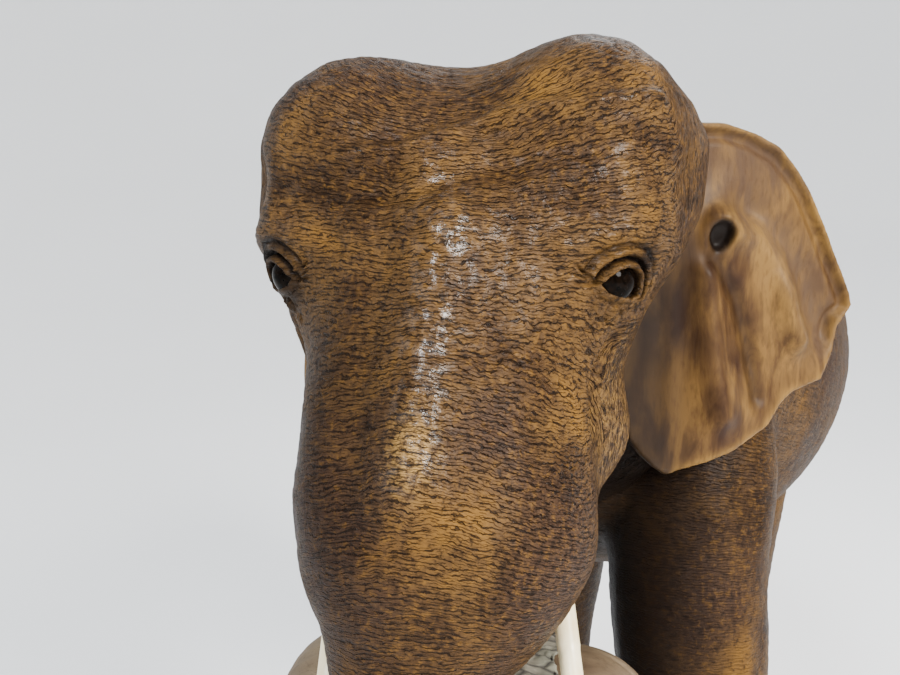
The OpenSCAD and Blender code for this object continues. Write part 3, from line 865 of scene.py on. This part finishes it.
def tail_piece(material):
    """Ringed tail with a tuft of carved hairs."""
    obj = remeshed(["tail"], "tail_carving", voxel=0.7, smoothing=6)
    mesh = obj.data
    p = verts(mesh)
    b = p - EYE_MID
    angle = np.arctan2(b[:, 0], b[:, 1] - TAIL_Y)
    tuft = step(b[:, 2], -128, -140)
    hairs = np.sin(TUFT_HAIRS * angle + 0.25 * b[:, 2] + 1.5 * ripple(b / 9, 7))
    rings = np.sin(b[:, 2] * 2 * math.pi / TAIL_RING_PITCH)
    rise = 0.55 * hairs * tuft + 0.25 * rings * (1 - tuft)
    put_verts(mesh, p + normals(mesh) * rise[:, None])
    wood_attributes(mesh, stroke=b[:, 2] * (1 - tuft) + 6 * angle * tuft, chisel=0.6)
    return finish_piece(obj, "carving", ["tail"], material)


def round_log(q):
    """Angle round the log and distance from its middle."""
    y, z = q[:, 1] - LOG_AT[1], q[:, 2] - LOG_AT[2]
    return np.arctan2(y, z), np.hypot(y, z)


def on_drum(angle, reach, along):
    """Places for noise that closes on itself round the log."""
    return np.stack([np.cos(angle) * reach, np.sin(angle) * reach, along], 1)


def log_piece(material):
    """Peeled log: long furrows in the grain, and broad dents."""
    obj = remeshed(["log"], "peeled_log", voxel=0.9, smoothing=6)
    mesh = obj.data
    p = verts(mesh)
    q = head_axes(p)
    ring = on_drum(round_log(q)[0], 9, q[:, 0] / 40)
    rise = 0.30 * ripple(ring, 8) + 0.18 * ripple(ring * 2.3, 9)
    rise += 0.8 * ripple(q / 19, 10)
    put_verts(mesh, p + normals(mesh) * (rise - 0.35)[:, None])
    return finish_piece(obj, "carving", ["log"], material)


def bark_piece(material):
    """Band of bark, broken into long plates."""
    obj = remeshed(["bark"], "bark_band", voxel=0.75, smoothing=2)
    mesh = obj.data
    p = verts(mesh)
    q = head_axes(p)
    angle, radius = round_log(q)
    outer = step(radius, BARK_UNDERSIDE, BARK_UNDERSIDE + 0.8)
    ring = on_drum(angle, 8, q[:, 0] / 7)
    plates = np.abs(ripple(ring, 11)) * 3.2
    rise = np.minimum(plates, 1) + 0.3 * ripple(ring * 2.6, 12) - 1.1
    ragged = 2.2 * ripple(on_drum(angle, 4, q[:, 0] * 0), 13)
    p += normals(mesh) * (rise * outer)[:, None]
    end = step(np.abs(q[:, 0]), 20, 27) * np.sign(q[:, 0])
    p += row_axes(np.array([1.0, 0, 0])) * (end * (ragged - 1.6))[:, None]
    put_verts(mesh, p)
    return finish_piece(obj, "carving", ["bark"], material)


# ---------------------------------------------------------------- pieces
wood = carved_wood()
head_piece(wood)
body_piece(wood)
tail_piece(wood)
ear_wood = ear_skin()
ear_piece("left_ear", "left_ear_sheet", 1, ear_wood)
ear_piece("right_ear", "right_ear_sheet", -1, ear_wood)
bone = ivory()
tusk_piece("left_tusk", "left_tusk_rod", "left_tusk_body", bone)
tusk_piece("right_tusk", "right_tusk_rod", "right_tusk_body", bone)
log_wood = smooth_wood("log_wood", [(0.3, (0.045, 0.028, 0.016, 1)), (0.5, (0.10, 0.069, 0.040, 1)),
                                    (0.7, (0.16, 0.118, 0.072, 1))], (0.3, 3.0, 3.0), 0.6)
log_piece(log_wood)
bark_piece(rough_bark())
glass = dark_glass()
backing = smooth_wood("backing_paint", [(0.3, (0.01, 0.008, 0.006, 1)), (0.7, (0.02, 0.014, 0.012, 1))],
                      (1, 1, 1), 0.5)
dowel = smooth_wood("dowel", [(0.3, (0.28, 0.16, 0.08, 1)), (0.7, (0.42, 0.27, 0.14, 1))],
                    (0.5, 0.5, 3), 0.55)
for name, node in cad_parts.items():
    for ending, material in (("_eye", glass), ("_backing", backing), ("peg", dowel),
                             ("_upper", dowel), ("_lower", dowel)):
        if name.endswith(ending):
            node.data.materials.clear()
            node.data.materials.append(material)


# ---------------------------------------------------------------- floor, lights and camera
# The camera stands before the elephant's left eye and looks back at the head, a little down
CAMERA_FROM_EYES = np.array([91.1, -236.0, 22.0])
CAMERA_DOWN = 8
CAMERA_TURN = 21
LENS = 43.44
SENSOR = 36


def backdrop():
    """Round floor whose edge sweeps up into a wall all the way round."""
    reach, sweep, top = 1.2, 2.4, 5.0
    profile = [(0.3, 0.0), (reach, 0.0)]
    profile += [(reach + sweep * math.sin(a), sweep - sweep * math.cos(a))
                for a in (math.radians(3 * k) for k in range(1, 31))]
    profile += [(reach + sweep, top)]
    build = bmesh.new()
    turns = 96
    rings = [[build.verts.new((r * math.cos(2 * math.pi * k / turns),
                               r * math.sin(2 * math.pi * k / turns), z))
              for k in range(turns)] for r, z in profile]
    build.faces.new(rings[0])
    for low, high in zip(rings, rings[1:]):
        for k in range(turns):
            n = (k + 1) % turns
            build.faces.new((low[k], high[k], high[n], low[n]))
    mesh = bpy.data.meshes.new("floor")
    build.to_mesh(mesh)
    build.free()
    for poly in mesh.polygons:
        poly.use_smooth = True
    floor = bpy.data.objects.new("floor", mesh)
    bpy.context.scene.collection.objects.link(floor)
    mesh.materials.append(paper("floor_paper", (0.93, 0.935, 0.94)))


def lamp(name, place, aim, size, power, colour=(1, 1, 1)):
    """Round soft light, its size in metres and its power in watts."""
    data = bpy.data.lights.new(name, "AREA")
    data.shape = "DISK"
    data.size = size
    data.energy = power
    data.color = colour
    obj = bpy.data.objects.new(name, data)
    obj.location = place
    obj.rotation_euler = (Vector(aim) - Vector(place)).to_track_quat("-Z", "Y").to_euler()
    bpy.context.scene.collection.objects.link(obj)


def camera():
    """The view from the front, with the head filling the frame."""
    data = bpy.data.cameras.new("camera")
    data.lens = LENS
    data.sensor_width = SENSOR
    obj = bpy.data.objects.new("camera", data)
    obj.location = Vector((EYE_MID + CAMERA_FROM_EYES) * MM)
    obj.rotation_euler = (math.radians(90 - CAMERA_DOWN), 0, math.radians(CAMERA_TURN))
    bpy.context.scene.collection.objects.link(obj)
    bpy.context.scene.camera = obj


backdrop()
low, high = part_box("head")
middle = (low + high) / 2
lamp("key", (1.05, -0.75, 0.85), middle, 0.5, 66, (1.0, 0.97, 0.93))
lamp("window", (-0.05, -1.25, 1.35), middle, 0.4, 32, (0.90, 0.95, 1.0))
lamp("fill", (-1.1, -0.5, 0.9), middle, 1.0, 3, (0.96, 0.98, 1.0))
lamp("rim", (0.0, 1.2, 1.3), middle, 0.8, 8)
world = bpy.data.worlds.new("sky")
world.use_nodes = True
world.node_tree.nodes["Background"].inputs["Color"].default_value = (0.90, 0.93, 0.96, 1)
world.node_tree.nodes["Background"].inputs["Strength"].default_value = 1.15
bpy.context.scene.world = world
camera()
